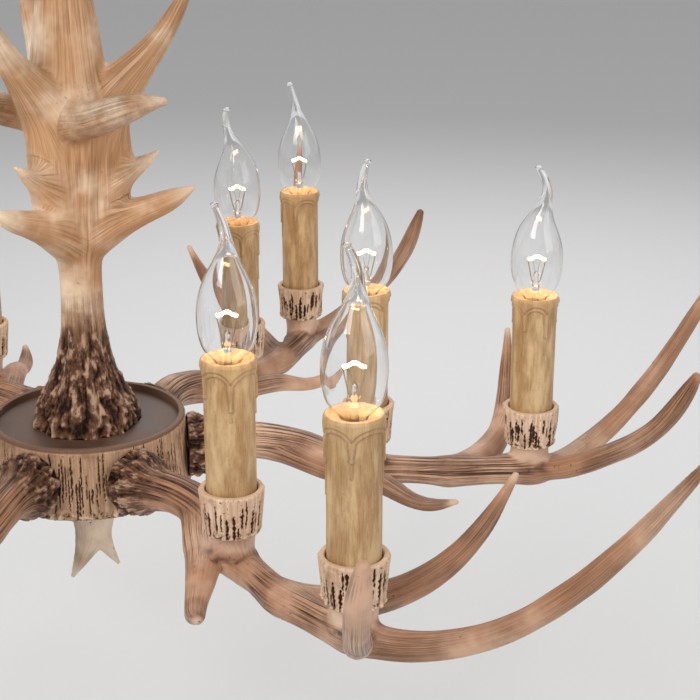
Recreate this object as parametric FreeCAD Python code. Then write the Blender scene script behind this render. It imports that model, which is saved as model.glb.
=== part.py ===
import FreeCAD, Part
import math
import os

Vector = FreeCAD.Vector
UP = Vector(0, 0, 1)

# Antler chandelier, millimetres, +Z up, modelled about the rim of the hub drum
# and moved at the end so that the origin is the centre of the hanging eye.

# Direction that sets where the seam of each horn's surface lies
SEAM_SIDE = Vector(0.55, -0.35, -0.76)

# Hub drum and its two plates
DRUM_RIM_R = 64.4
DRUM_FLARE = 3.0
DRUM_HEIGHT = 48.0
RIM_WIDTH = 3.5
LEDGE_WIDTH = 3.0
PLATE_RECESS = 4.5
PLATE_THICK = 3.0
PAD_R = 13.0
PAD_STAND = 5.6
SPOT_FACE_R = 7.0
SPOT_FACE_DEPTH = 0.9

# Small gaps left between neighbouring pieces, and how far a cut runs past the faces that it opens
SEAT_GAP = 0.2
SHAFT_GAP = 0.3
LEAD_GAP = 0.4
LEAD_HOLE_GAP = 0.8
BOLT_END_GAP = 1.0
OVERRUN = 1.0

# Central rod, its nut, and the hanging eye
ROD_R = 5.0
ROD_BORE_R = 3.0
ROD_WINDOW_R = 2.5
ROD_BELOW_PLATE = 15.0
NUT_FLATS = 17.0
NUT_HEIGHT = 8.0
EYE_BORE_R = 12.0
EYE_WALL = 8.0
EYE_WIDTH = 10.0
EYE_NECK_R = 11.0
EYE_NECK = 10.0
ROD_IN_EYE = 9.0

# Column antler: radius at each share of its height, and the horns of one rank
TRUNK_HEIGHT = 326.5
TRUNK_RANKS = 3
TRUNK_PROFILE = (
    (35.0, 0.0), (30.0, 0.045), (22.0, 0.10), (16.0, 0.17), (13.8, 0.26), (14.6, 0.35),
    (19.0, 0.45), (24.5, 0.54), (27.0, 0.62), (25.5, 0.69), (22.0, 0.76), (18.5, 0.84),
    (15.0, 0.92), (12.0, 1.0),
)
# Each horn: share of the trunk height at its root, then out, across, up from there, radius
SIDE_HORN = (
    0.395, ((12, 0, 0, 13.0), (30, 0, 11, 11.0), (47, 0, 18, 8.5), (64, 0, 25, 6.0), (77, 0, 32, 1.5)),
)
SPIKE = (0.50, ((20, 0, 0, 8.0), (42, 0, 12, 5.0), (55, 0, 22, 1.2)))
FORK_HORN = (0.615, ((14, 0, 0, 15.0), (44, 0, 36, 10.0), (60, 0, 57, 7.0), (82, 0, 96, 1.8)))
CROSS_HORN = (0.635, ((-2, -14, 0, 13.0), (20, -34, 4, 11.0), (46, -38, 13, 7.5), (65, -36, 16, 2.5)))

# Finial antler under the hub: x, y, depth below the bottom plate, radius
FINIAL_MAIN = ((0, 0, 0, 24.0), (0, 0, 17, 19.0), (-2, 0, 40, 12.0), (-9, 0, 62, 6.5), (-18, 0, 80, 1.8))
FINIAL_HOOK = ((2, -2, 30, 8.0), (9, -3, 56, 4.2), (16, -3, 68, 1.5))
FINIAL_POCKET_R = 11.0
FINIAL_POCKET = 12.0

# Arms: count, bearing of the first, and the small rise, sideways drift and bow of each antler
ARM_COUNT = 6
FIRST_ARM_DEG = -56.0
ARM_RISE = (0.045, -0.050, 0.0, 0.020, -0.030, 0.010)
ARM_SWING = (0.033, 0.0, -0.031, 0.010, -0.010, 0.020)
ARM_BOW = (2.6, 0.0, -4.4, 0.8, -0.8, 0.5)
BURR_R = 20.5
BURR_THICK = 9.0
BURR_ROUND = 3.5
INNER_OUT = 118.0
OUTER_OUT = 233.0
INNER_ACROSS = -3.0
OUTER_ACROSS = 4.0
INNER_RIM_UP = 34.5
OUTER_RIM_UP = 32.0
INNER_BEAM_UP = -16.5
MID_BEAM_UP = -15.0
OUTER_BEAM_UP = -16.0
BOSS_FOOT_R = 8.5
BOSS_TOP_R = 13.0

# Bends of the beam between the burr and the inner lamp, as shares of that run
FIRST_BEND = 0.25
SECOND_BEND = 0.63

# Antler stations: out from the burr face, across, up from the bolt axis, radius
BEAM = (
    (0, 0, -1, 15.0),
    (INNER_OUT * FIRST_BEND, 6, 0, 13.0),
    (INNER_OUT * SECOND_BEND, 12, -7, 12.5),
    (INNER_OUT, 2, INNER_BEAM_UP, 10.6),
    (INNER_OUT + 28, -3, -15.4, 9.3),
    ((INNER_OUT + OUTER_OUT) / 2, -6, MID_BEAM_UP, 9.3),
    (OUTER_OUT - 29, -4, -14.5, 9.4),
    (OUTER_OUT, 2, OUTER_BEAM_UP, 9.3),
    (OUTER_OUT + 22, 16, -18, 8.6),
    (OUTER_OUT + 43, 34, -14, 7.8),
    (OUTER_OUT + 67, 49, -1, 7.2),
    (OUTER_OUT + 93, 62, 22, 6.7),
    (OUTER_OUT + 117, 74, 51, 6.0),
    (OUTER_OUT + 139, 84, 83, 4.5),
    (OUTER_OUT + 158, 92, 114, 1.8),
)
REAR_TINE = (
    (OUTER_OUT - 44, -4, MID_BEAM_UP, 8.6), (OUTER_OUT - 22, 40, -16, 8.0),
    (OUTER_OUT - 5, 80, 10, 6.5), (OUTER_OUT + 1, 113, 51, 1.8),
)
FRONT_TINE = (
    (OUTER_OUT + 3, 3, OUTER_BEAM_UP, 8.2), (OUTER_OUT + 20, -8, -10, 7.4),
    (OUTER_OUT + 40, -22, 3, 6.7), (OUTER_OUT + 56, -34, 16, 6.4), (OUTER_OUT + 78, -50, 42, 6.0),
    (OUTER_OUT + 91, -57, 67, 4.6), (OUTER_OUT + 97, -60, 82, 1.8),
)
BROW_TINE = (
    (INNER_OUT - 12, -4, INNER_BEAM_UP + 2, 10.0), (INNER_OUT + 13, -33, -15, 7.8),
    (INNER_OUT + 27, -44, -20, 5.8), (INNER_OUT + 42, -53, -19, 4.4), (INNER_OUT + 55, -58, -14, 1.8),
)

# Lead inside each arm, laid along the beam under its axis
LEAD_R = 2.6
LEAD_BELOW_BOLT = 8.5
LEAD_IN_HUB = 18.0
LEAD_RUNS = 24
LEAD_ROUTE = (
    (-LEAD_IN_HUB, 0, -LEAD_BELOW_BOLT),
    (0, 0, -LEAD_BELOW_BOLT),
    (INNER_OUT * FIRST_BEND, 5, -7),
    (INNER_OUT * SECOND_BEND, 12, -8),
    (INNER_OUT, 1, INNER_BEAM_UP),
    ((INNER_OUT + OUTER_OUT) / 2, -6, MID_BEAM_UP),
    (OUTER_OUT - 6, 1, OUTER_BEAM_UP),
)

# Bolt that holds each arm to the drum
BOLT_R = 3.0
BOLT_LENGTH = 36.0
BOLT_HEAD_R = 5.0
BOLT_HEAD = 6.0

# Candle cup, sleeve, threaded nipple and its nut
CUP_TOP_R = 19.3
CUP_FOOT_R = 17.0
CUP_WALL = 3.8
CUP_HEIGHT = 27.5
CUP_FLOOR = 4.5
SLEEVE_R = 14.75
SLEEVE_WALL = 1.55
SLEEVE_SHOWS = 79.7
LID_DROP = 2.0
LID_THICK = 1.2
LID_GAP = 0.6
NIPPLE_R = 5.0
NIPPLE_BORE_R = 3.0
NIPPLE_ABOVE_LEAD = 6.0
LOCK_NUT_FLATS = 14.0
LOCK_NUT = 4.0

# Lamp holder and screw-in bulb, levels measured from the top of the sleeve
HOLDER_R = 12.6
HOLDER_DROP = 15.0
HOLDER_LENGTH = 47.0
NIPPLE_IN_HOLDER = 9.5
CAP_R = 6.95
CAP_SHELL = 19.0
CAP_NOSE = 5.0
CAP_CONTACT_R = 2.4
CAP_DROP = 14.0
CONTACT_GAP = 0.3
GLASS_WALL = 0.9
GLASS_FOOT_R = 7.6
# Glass outline: radius, height above the sleeve top, share of the neck's bow and of the tip's lean
GLASS = (
    (6.7, -CAP_DROP, 0, 0), (6.9, -7, 0, 0), (GLASS_FOOT_R, -LID_DROP, 0, 0), (12.9, 4, 0, 0),
    (15.8, 10, 0, 0), (17.5, 23, 0, 0), (16.2, 36, 0, 0), (12.0, 48, 0, 0), (7.6, 57, 0.3, 0),
    (4.6, 65, 0.75, 0.05), (3.2, 73, 1.0, 0.2), (2.7, 80, 0.85, 0.5), (2.4, 86, 0.4, 0.8), (2.1, 90, 0, 1.0),
)
CAVITY_TOP = 70.0
STEM_R = 2.4
STEM_TOP = 14.0
FILAMENT_R = 0.6
FILAMENT_HALF = 6.0
FILAMENT_UP = 25.0
SUPPORT_R = 0.4
# Bow of the neck and lean of the tip of each hand-bent bulb, inner then outer on each arm;
# when the list starts again, the bulbs are turned half round
BULB_BENDS = ((1.3, -5.7), (2.4, -4.4), (-3.2, 1.2), (7.0, -0.7), (-5.0, -5.8), (-1.5, -7.5))
HALF_TURN_DEG = 180.0

# Terminal block on the bottom plate
BLOCK_LONG = 36.0
BLOCK_WIDE = 18.0
BLOCK_HIGH = 14.0
BLOCK_BACK = 28.0
BLOCK_POLES = 3
BLOCK_POLE_R = 2.5

# Levels and radii that follow from the sizes above
BOLT_DROP = DRUM_HEIGHT / 2
RECESS_R = DRUM_RIM_R - RIM_WIDTH
DRUM_INNER_R = RECESS_R - LEDGE_WIDTH
ARM_FACE = DRUM_RIM_R + PAD_STAND
SPOT_FACE = DRUM_INNER_R + SPOT_FACE_DEPTH
TOP_LEDGE = PLATE_RECESS + PLATE_THICK
BOTTOM_LEDGE = DRUM_HEIGHT - TOP_LEDGE
BOTTOM_PLATE_DROP = BOTTOM_LEDGE + PLATE_THICK
EYE_R = EYE_BORE_R + EYE_WALL
TRUNK_TOP = TRUNK_HEIGHT - PLATE_RECESS
EYE_UP = TRUNK_TOP + EYE_NECK + EYE_R
ROD_FOOT = -BOTTOM_PLATE_DROP - ROD_BELOW_PLATE
ROD_HEAD = TRUNK_TOP + ROD_IN_EYE
CUP_HOLE_R = CUP_TOP_R - CUP_WALL
LAMP_KINDS = (
    ("inner", INNER_OUT, INNER_ACROSS, INNER_RIM_UP, INNER_BEAM_UP),
    ("outer", OUTER_OUT, OUTER_ACROSS, OUTER_RIM_UP, OUTER_BEAM_UP),
)


def export(name, shapes):
    """Write the solids of one node, moved so that the hanging eye is the origin."""
    solids = [solid for shape in shapes for solid in shape.Solids]
    node = solids[0] if len(solids) == 1 else Part.makeCompound(solids)
    moved = node.translated(Vector(0, 0, -EYE_UP))
    moved.exportStep("parts/" + name + ".step")


def bearing(k):
    """Direction of arm k as an angle in radians."""
    return math.radians(FIRST_ARM_DEG + 360.0 / ARM_COUNT * k)


def arm_point(k, out, across, up):
    """A point of arm k, with that antler's own rise, drift and bow, in the hub's frame."""
    reach = max(out, 0.0)
    share = min(reach / OUTER_OUT, 1.0)
    bow = ARM_BOW[k % len(ARM_BOW)] * 4 * share * (1 - share)
    side = across + ARM_SWING[k % len(ARM_SWING)] * reach + bow
    height = up + ARM_RISE[k % len(ARM_RISE)] * reach - BOLT_DROP
    distance = ARM_FACE + out
    angle = bearing(k)
    x = distance * math.cos(angle) - side * math.sin(angle)
    y = distance * math.sin(angle) + side * math.cos(angle)
    return Vector(x, y, height)


def outward(k):
    """Unit vector along arm k's bearing."""
    return Vector(math.cos(bearing(k)), math.sin(bearing(k)), 0)


def turned(points):
    """A solid of revolution about Z from (radius, height) corners."""
    corners = [Vector(r, 0, z) for r, z in points]
    face = Part.Face(Part.makePolygon(corners + corners[:1]))
    return face.revolve(Vector(0, 0, 0), UP, 360)


def rings_along(spine, stations, start=None):
    """Circles square to a curve, one at each centre and radius, square to start at the first."""
    rings = []
    side = None
    for centre, radius in stations:
        along = spine.tangent(spine.parameter(centre))[0]
        if side is None:
            along = start or along
            side = along.cross(SEAM_SIDE)
        side = side - along * side.dot(along)
        side.normalize()
        ring = Part.Wire(Part.makeCircle(radius))
        ring.Placement = FreeCAD.Placement(centre, FreeCAD.Rotation(side, along.cross(side), along, "ZXY"))
        rings.append(ring)
    return rings


def limb(stations, start=None):
    """A smooth horn through round stations, each a centre and a radius, square to start at its root."""
    spine = Part.BSplineCurve()
    spine.interpolate([centre for centre, radius in stations])
    return Part.makeLoft(rings_along(spine, stations, start), True)


def arm_limb(k, stations, start=None):
    """A branch of arm k from its out, across, up and radius stations."""
    return limb([(arm_point(k, out, across, up), radius) for out, across, up, radius in stations], start)


def radial_pin(k, radius, start, length, up=0.0):
    """A round bar along arm k's bearing, from a distance off the hub axis."""
    return Part.makeCylinder(radius, length, outward(k) * start + UP * (up - BOLT_DROP), outward(k))


def hexagon(flats, height, hole_r):
    """A hexagon nut standing on Z = 0."""
    corner = flats / math.sqrt(3)
    angles = [math.pi / 3 * i for i in range(7)]
    points = [Vector(corner * math.cos(a), corner * math.sin(a), 0) for a in angles]
    body = Part.Face(Part.makePolygon(points)).extrude(UP * height)
    return body.cut(Part.makeCylinder(hole_r, height))


def hub_drum():
    """The drum, ledged at both ends, with a flat pad and two holes for each arm."""
    body = turned((
        (DRUM_RIM_R, 0), (DRUM_RIM_R + DRUM_FLARE, -DRUM_HEIGHT), (RECESS_R, -DRUM_HEIGHT),
        (RECESS_R, -BOTTOM_LEDGE), (DRUM_INNER_R, -BOTTOM_LEDGE), (DRUM_INNER_R, -TOP_LEDGE),
        (RECESS_R, -TOP_LEDGE), (RECESS_R, 0),
    ))
    pad_start = DRUM_RIM_R - RIM_WIDTH / 2
    pads = [radial_pin(k, PAD_R, pad_start, ARM_FACE - pad_start) for k in range(ARM_COUNT)]
    body = body.fuse(pads)
    cuts = []
    for k in range(ARM_COUNT):
        cuts.append(radial_pin(k, SPOT_FACE_R, SPOT_FACE - SPOT_FACE_R, SPOT_FACE_R))
        wall = ARM_FACE - SPOT_FACE + OVERRUN * 2
        cuts.append(radial_pin(k, BOLT_R + SHAFT_GAP, SPOT_FACE - OVERRUN, wall))
        lead_hole_r = LEAD_R + LEAD_HOLE_GAP
        lead_start = ARM_FACE - LEAD_IN_HUB
        cuts.append(radial_pin(k, lead_hole_r, lead_start, LEAD_IN_HUB + OVERRUN, -LEAD_BELOW_BOLT))
    return body.cut(cuts)


def hub_plate(top):
    """A round plate with a hole for the rod, its upper face at a given level."""
    disc = Part.makeCylinder(RECESS_R - SEAT_GAP, PLATE_THICK, Vector(0, 0, top - PLATE_THICK))
    return disc.cut(Part.makeCylinder(ROD_R + SHAFT_GAP, PLATE_THICK, Vector(0, 0, top - PLATE_THICK)))


def column_rod():
    """The hollow threaded rod with a side window that lets the leads out into the drum."""
    length = ROD_HEAD - ROD_FOOT
    tube = Part.makeCylinder(ROD_R, length, Vector(0, 0, ROD_FOOT))
    tube = tube.cut(Part.makeCylinder(ROD_BORE_R, length, Vector(0, 0, ROD_FOOT)))
    return tube.cut(Part.makeCylinder(ROD_WINDOW_R, ROD_R * 2, Vector(0, 0, -BOLT_DROP), Vector(0, 1, 0)))


def rod_nut():
    """The nut that pulls the whole stack together from below."""
    nut = hexagon(NUT_FLATS, NUT_HEIGHT, ROD_R + SEAT_GAP)
    return nut.translated(Vector(0, 0, -BOTTOM_PLATE_DROP - NUT_HEIGHT))


def hanging_eye():
    """The eye on the rod's head, with the supply lead's way from its bore into the rod."""
    neck = Part.makeCylinder(EYE_NECK_R, EYE_NECK + EYE_WALL / 2, Vector(0, 0, TRUNK_TOP))
    ring = Part.makeCylinder(EYE_R, EYE_WIDTH, Vector(0, -EYE_WIDTH / 2, EYE_UP), Vector(0, 1, 0))
    bore = Part.makeCylinder(EYE_BORE_R, EYE_R * 2, Vector(0, -EYE_R, EYE_UP), Vector(0, 1, 0))
    socket = Part.makeCylinder(ROD_R + SEAT_GAP, ROD_IN_EYE + SEAT_GAP, Vector(0, 0, TRUNK_TOP))
    lead_way = Part.makeCylinder(ROD_BORE_R, EYE_UP - TRUNK_TOP, Vector(0, 0, TRUNK_TOP))
    return neck.fuse(ring).removeSplitter().cut([bore, socket, lead_way])


def column_antler():
    """The upright antler on the top plate: a waisted trunk, three ranks of horns, and the rod's bore."""
    foot = -PLATE_RECESS
    profile = Part.BSplineCurve()
    profile.interpolate([Vector(r, 0, foot + TRUNK_HEIGHT * share) for r, share in TRUNK_PROFILE])
    top = Vector(TRUNK_PROFILE[-1][0], 0, foot + TRUNK_HEIGHT)
    base = Vector(TRUNK_PROFILE[0][0], 0, foot)
    axis_top = Vector(0, 0, foot + TRUNK_HEIGHT)
    axis_base = Vector(0, 0, foot)
    edges = [profile.toShape(), Part.makeLine(top, axis_top), Part.makeLine(axis_top, axis_base),
             Part.makeLine(axis_base, base)]
    trunk = Part.Face(Part.Wire(Part.__sortEdges__(edges))).revolve(Vector(0, 0, 0), UP, 360)
    horns = []
    for share, stations in (SIDE_HORN, SPIKE, FORK_HORN, CROSS_HORN):
        level = foot + TRUNK_HEIGHT * share
        horn = limb([(Vector(out, across, level + up), radius) for out, across, up, radius in stations])
        for rank in range(TRUNK_RANKS):
            horns.append(horn.rotated(Vector(0, 0, 0), UP, 360.0 / TRUNK_RANKS * rank))
    body = trunk.fuse(horns)
    return body.cut(Part.makeCylinder(ROD_R + SHAFT_GAP, TRUNK_HEIGHT, Vector(0, 0, foot)))


def finial_antler():
    """The small antler tip under the drum, pocketed for the rod's end and nut."""
    top = -BOTTOM_PLATE_DROP
    main = limb([(Vector(x, y, top - depth), radius) for x, y, depth, radius in FINIAL_MAIN], UP * -1)
    hook = limb([(Vector(x, y, top - depth), radius) for x, y, depth, radius in FINIAL_HOOK])
    pocket = Part.makeCylinder(FINIAL_POCKET_R, FINIAL_POCKET, Vector(0, 0, top), UP * -1)
    rod_hole = Part.makeCylinder(ROD_R + SHAFT_GAP, ROD_BELOW_PLATE + SHAFT_GAP, Vector(0, 0, top), UP * -1)
    return main.fuse(hook).cut([pocket, rod_hole])


def terminal_block():
    """The connector block that stands on the bottom plate behind the rod."""
    floor = -BOTTOM_LEDGE
    block = Part.makeBox(BLOCK_LONG, BLOCK_WIDE, BLOCK_HIGH,
                         Vector(-BLOCK_LONG / 2, BLOCK_BACK - BLOCK_WIDE / 2, floor))
    pitch = BLOCK_LONG / BLOCK_POLES
    holes = [Part.makeCylinder(BLOCK_POLE_R, BLOCK_WIDE,
                               Vector((i + 0.5) * pitch - BLOCK_LONG / 2, BLOCK_BACK - BLOCK_WIDE / 2,
                                      floor + BLOCK_HIGH / 2), Vector(0, 1, 0)) for i in range(BLOCK_POLES)]
    return block.cut(holes)


def arm_lead(k, radius):
    """The lead of arm k in short straight runs, or with a larger radius the channel that it lies in."""
    route = Part.BSplineCurve()
    route.interpolate([arm_point(k, out, across, up) for out, across, up in LEAD_ROUTE])
    stations = [(point, radius) for point in route.discretize(Number=LEAD_RUNS + 1)]
    return Part.makeLoft(rings_along(route, stations, outward(k)), True, True)


def arm_antler(k):
    """One arm: burr, beam, tines and two bosses, with its lead channel and holes."""
    burr = radial_pin(k, BURR_R, ARM_FACE, BURR_THICK)
    burr = burr.makeFillet(BURR_ROUND, [e for e in burr.Edges if e.Closed and len(e.Vertexes) == 1])
    branches = [arm_limb(k, BEAM, outward(k))]
    branches += [arm_limb(k, stations) for stations in (REAR_TINE, FRONT_TINE, BROW_TINE)]
    holes = [arm_lead(k, LEAD_R + LEAD_GAP)]
    bolt_depth = SPOT_FACE + BOLT_LENGTH - ARM_FACE + BOLT_END_GAP
    holes.append(radial_pin(k, BOLT_R + SEAT_GAP, ARM_FACE, bolt_depth))
    for name, out, across, rim_up, beam_up in LAMP_KINDS:
        foot = arm_point(k, out, across, beam_up)
        top = arm_point(k, out, across, rim_up - CUP_HEIGHT)
        branches.append(Part.makeCone(BOSS_FOOT_R, BOSS_TOP_R, top.z - foot.z, foot))
        holes.append(Part.makeCylinder(NIPPLE_R + SEAT_GAP, top.z - foot.z, foot))
    return burr.fuse(branches).cut(holes)


def arm_bolt(k):
    """The socket-head screw from inside the drum into arm k."""
    shank = radial_pin(k, BOLT_R, SPOT_FACE, BOLT_LENGTH)
    return shank.fuse(radial_pin(k, BOLT_HEAD_R, SPOT_FACE - BOLT_HEAD, BOLT_HEAD))


def candle_cup(rim):
    """A cup with a thick wall, open at the rim, on the boss of an arm."""
    floor = CUP_FLOOR - CUP_HEIGHT
    cup = turned((
        (NIPPLE_R + SEAT_GAP, -CUP_HEIGHT), (CUP_FOOT_R, -CUP_HEIGHT), (CUP_TOP_R, 0),
        (CUP_HOLE_R, 0), (CUP_HOLE_R, floor), (NIPPLE_R + SEAT_GAP, floor),
    ))
    return cup.translated(rim)


def candle_sleeve(rim):
    """The candle tube that stands on the cup's floor, with a lid round the foot of the glass."""
    floor = CUP_FLOOR - CUP_HEIGHT
    inner = SLEEVE_R - SLEEVE_WALL
    lid_top = SLEEVE_SHOWS - LID_DROP
    lid_hole = GLASS_FOOT_R + LID_GAP
    sleeve = turned((
        (inner, floor), (SLEEVE_R, floor), (SLEEVE_R, SLEEVE_SHOWS), (inner, SLEEVE_SHOWS), (inner, lid_top),
        (lid_hole, lid_top), (lid_hole, lid_top - LID_THICK), (inner, lid_top - LID_THICK),
    ))
    return sleeve.translated(rim)


def lamp_holder(rim):
    """The lamp holder inside a sleeve: screw socket above, nipple socket below."""
    top = SLEEVE_SHOWS - HOLDER_DROP
    bore_floor = SLEEVE_SHOWS - CAP_DROP - CAP_SHELL - CAP_NOSE - CONTACT_GAP
    foot = top - HOLDER_LENGTH
    body = Part.makeCylinder(HOLDER_R, HOLDER_LENGTH, Vector(0, 0, foot))
    socket = Part.makeCylinder(CAP_R + SHAFT_GAP, top - bore_floor, Vector(0, 0, bore_floor))
    stem = Part.makeCylinder(NIPPLE_R + SEAT_GAP, NIPPLE_IN_HOLDER + SEAT_GAP, Vector(0, 0, foot))
    return body.cut([socket, stem]).translated(rim)


def nipple(rim, beam_z):
    """The threaded tube from the arm's channel up into the lamp holder."""
    foot = beam_z + NIPPLE_ABOVE_LEAD
    head = rim.z + SLEEVE_SHOWS - HOLDER_DROP - HOLDER_LENGTH + NIPPLE_IN_HOLDER
    tube = Part.makeCylinder(NIPPLE_R, head - foot).cut(Part.makeCylinder(NIPPLE_BORE_R, head - foot))
    return tube.translated(Vector(rim.x, rim.y, foot))


def lock_nut(rim):
    """The flat nut that clamps a cup to its nipple."""
    nut = hexagon(LOCK_NUT_FLATS, LOCK_NUT, NIPPLE_R + SEAT_GAP)
    return nut.translated(rim + UP * (CUP_FLOOR - CUP_HEIGHT))


def glass_loft(outline):
    """A closed loft through level circles whose centres drift sideways."""
    rings = [Part.Wire(Part.makeCircle(r, Vector(drift, 0, z))) for r, z, drift in outline]
    return Part.makeLoft(rings, True)


def bulb_glass(bow, lean):
    """The bent-tip envelope, hollow, with the stem that carries the filament."""
    outline = [(r, z, bow * bow_share + lean * lean_share) for r, z, bow_share, lean_share in GLASS]
    hollow = [(r - GLASS_WALL, z, drift) for r, z, drift in outline if z <= CAVITY_TOP]
    hollow[0] = (hollow[0][0], hollow[0][1] + GLASS_WALL, 0)
    stem = Part.makeCylinder(STEM_R, STEM_TOP + CAP_DROP, Vector(0, 0, -CAP_DROP))
    return glass_loft(outline).cut(glass_loft(hollow)).fuse(stem)


def bulb_base():
    """The screw cap with its contact nose."""
    top = -CAP_DROP
    shoulder = top - CAP_SHELL
    nose = shoulder - CAP_NOSE
    return turned(((0, top), (CAP_R, top), (CAP_R, shoulder), (CAP_CONTACT_R, nose), (0, nose)))


def filament():
    """The level filament on its two supports above the stem."""
    end = Vector(-FILAMENT_HALF, 0, FILAMENT_UP)
    bar = Part.makeCylinder(FILAMENT_R, FILAMENT_HALF * 2, end, Vector(1, 0, 0))
    legs = []
    for side in (-1, 1):
        foot = Vector(side * (STEM_R - SUPPORT_R * 2), 0, STEM_TOP)
        head = Vector(side * (FILAMENT_HALF - FILAMENT_R), 0, FILAMENT_UP)
        legs.append(Part.makeCylinder(SUPPORT_R, (head - foot).Length, foot, head - foot))
    trim = Part.makeCylinder(STEM_R, FILAMENT_UP, Vector(0, 0, STEM_TOP - FILAMENT_UP))
    return bar.fuse(legs).cut(trim)


def build_lamps():
    """Every cup, sleeve, holder, nipple, nut and bulb, two to an arm."""
    cups = {name: [] for name, out, across, rim_up, beam_up in LAMP_KINDS}
    holders = []
    nipples = []
    nuts = []
    base = bulb_base()
    wire = filament()
    number = 0
    for k in range(ARM_COUNT):
        for name, out, across, rim_up, beam_up in LAMP_KINDS:
            rim = arm_point(k, out, across, rim_up)
            beam_z = arm_point(k, out, across, beam_up).z
            cups[name].append(candle_cup(rim))
            holders.append(lamp_holder(rim))
            nipples.append(nipple(rim, beam_z))
            nuts.append(lock_nut(rim))
            glass = bulb_glass(*BULB_BENDS[number % len(BULB_BENDS)])
            turn = HALF_TURN_DEG * (number // len(BULB_BENDS))
            number += 1
            spot = rim + UP * SLEEVE_SHOWS
            placed = [s.rotated(Vector(0, 0, 0), UP, turn).translated(spot) for s in (glass, base, wire)]
            export("candle_sleeve_%02d" % number, [candle_sleeve(rim)])
            export("bulb_glass_%02d" % number, placed[:1])
            export("bulb_base_%02d" % number, placed[1:])
    for name in cups:
        export(name + "_candle_cups", cups[name])
    export("lamp_holders", holders)
    export("threaded_nipples", nipples)
    export("nipple_lock_nuts", nuts)


def main():
    os.makedirs("parts", exist_ok=True)
    export("hub_drum", [hub_drum()])
    export("hub_top_plate", [hub_plate(-PLATE_RECESS)])
    export("hub_bottom_plate", [hub_plate(-BOTTOM_LEDGE)])
    export("column_rod", [column_rod()])
    export("rod_nut", [rod_nut()])
    export("hanging_eye", [hanging_eye()])
    export("column_antler", [column_antler()])
    export("finial_antler", [finial_antler()])
    export("terminal_block", [terminal_block()])
    for k in range(ARM_COUNT):
        export("arm_antler_%d" % (k + 1), [arm_antler(k)])
    export("arm_bolts", [arm_bolt(k) for k in range(ARM_COUNT)])
    export("arm_leads", [arm_lead(k, LEAD_R) for k in range(ARM_COUNT)])
    build_lamps()


main()
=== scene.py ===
import math

import bpy
import numpy as np
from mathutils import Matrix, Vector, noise


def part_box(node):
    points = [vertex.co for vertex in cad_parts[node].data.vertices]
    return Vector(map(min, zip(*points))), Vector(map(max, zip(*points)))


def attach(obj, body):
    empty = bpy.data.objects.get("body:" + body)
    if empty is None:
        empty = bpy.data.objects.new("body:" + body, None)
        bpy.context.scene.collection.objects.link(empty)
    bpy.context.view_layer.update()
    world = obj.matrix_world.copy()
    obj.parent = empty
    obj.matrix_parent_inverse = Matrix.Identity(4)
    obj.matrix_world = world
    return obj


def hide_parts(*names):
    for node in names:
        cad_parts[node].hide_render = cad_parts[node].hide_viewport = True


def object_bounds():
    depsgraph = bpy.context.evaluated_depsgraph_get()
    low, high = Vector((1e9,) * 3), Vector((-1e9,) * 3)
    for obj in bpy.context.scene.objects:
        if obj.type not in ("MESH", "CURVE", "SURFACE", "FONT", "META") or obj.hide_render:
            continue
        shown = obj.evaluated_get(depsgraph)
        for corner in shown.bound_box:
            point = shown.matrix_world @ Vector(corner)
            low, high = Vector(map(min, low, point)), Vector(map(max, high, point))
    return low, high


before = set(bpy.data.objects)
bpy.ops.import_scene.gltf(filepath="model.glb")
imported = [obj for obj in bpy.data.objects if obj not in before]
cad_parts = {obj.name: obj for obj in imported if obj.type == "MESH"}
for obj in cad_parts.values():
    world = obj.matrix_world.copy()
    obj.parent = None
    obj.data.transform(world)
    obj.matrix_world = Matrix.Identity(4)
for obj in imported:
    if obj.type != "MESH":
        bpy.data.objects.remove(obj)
CAD_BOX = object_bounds()

# Antler chandelier. Shapes are worked out in millimetres and become metres when a mesh is made.
MM = 0.001
FIXED = "chandelier"

# Hub: the drum's rim is the level that the other heights are measured from
RIM_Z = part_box("hub_drum")[1].z / MM
DRUM_RIM_R = 64.4
DRUM_FLARE = 3.0
DRUM_HEIGHT = 48.0
DRUM_WALL = 6.5
RIM_WIDTH = 3.5
PLATE_RECESS = 4.5
PLATE_THICK = 3.0
BOLT_Z = RIM_Z - DRUM_HEIGHT / 2
ARM_FACE = 70.0

# Hanging eye; the roundness is that of its section's corners
EYE_BORE_R = 12.0
EYE_WALL = 8.0
EYE_HALF_WIDTH = 5.0
EYE_NECK = 10.0
EYE_ROUNDNESS = 0.55

# Column antler: radius at each share of its height, then the horns of one rank as
# share of the height at the root, and out, across, up, radius from there
TRUNK_FOOT = RIM_Z - PLATE_RECESS
TRUNK_HEIGHT = 326.5
TRUNK_RANKS = 3
CRUST_TOP = 82.0
TRUNK_PROFILE = (
    (35.0, 0.0), (30.0, 0.045), (22.0, 0.10), (16.0, 0.17), (13.8, 0.26), (14.6, 0.35),
    (19.0, 0.45), (24.5, 0.54), (27.0, 0.62), (25.5, 0.69), (22.0, 0.76), (18.5, 0.84),
    (15.0, 0.92), (12.0, 1.0),
)
TRUNK_HORNS = (
    (0.395, ((12, 0, 0, 13.0), (30, 0, 11, 11.0), (47, 0, 18, 8.5), (64, 0, 25, 6.0), (76, 0, 31.5, 1.5))),
    (0.50, ((20, 0, 0, 8.0), (42, 0, 12, 5.0), (54, 0, 21, 1.2))),
    (0.615, ((14, 0, 0, 17.0), (34, 0, 27, 14.0), (46, 0, 40, 10.2), (60, 0, 57, 7.2), (81, 0, 94.5, 1.8))),
    (0.635, ((-2, -14, 0, 13.0), (20, -34, 4, 11.0), (46, -38, 13, 7.8), (63, -36.3, 15.5, 2.8))),
    (0.42, ((14, 0, 0, 13.0), (23, 0, 26, 13.0), (25, 0, 48, 12.5), (22, 0, 68, 13.0), (22, 0, 84, 12.0))),
)
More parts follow.
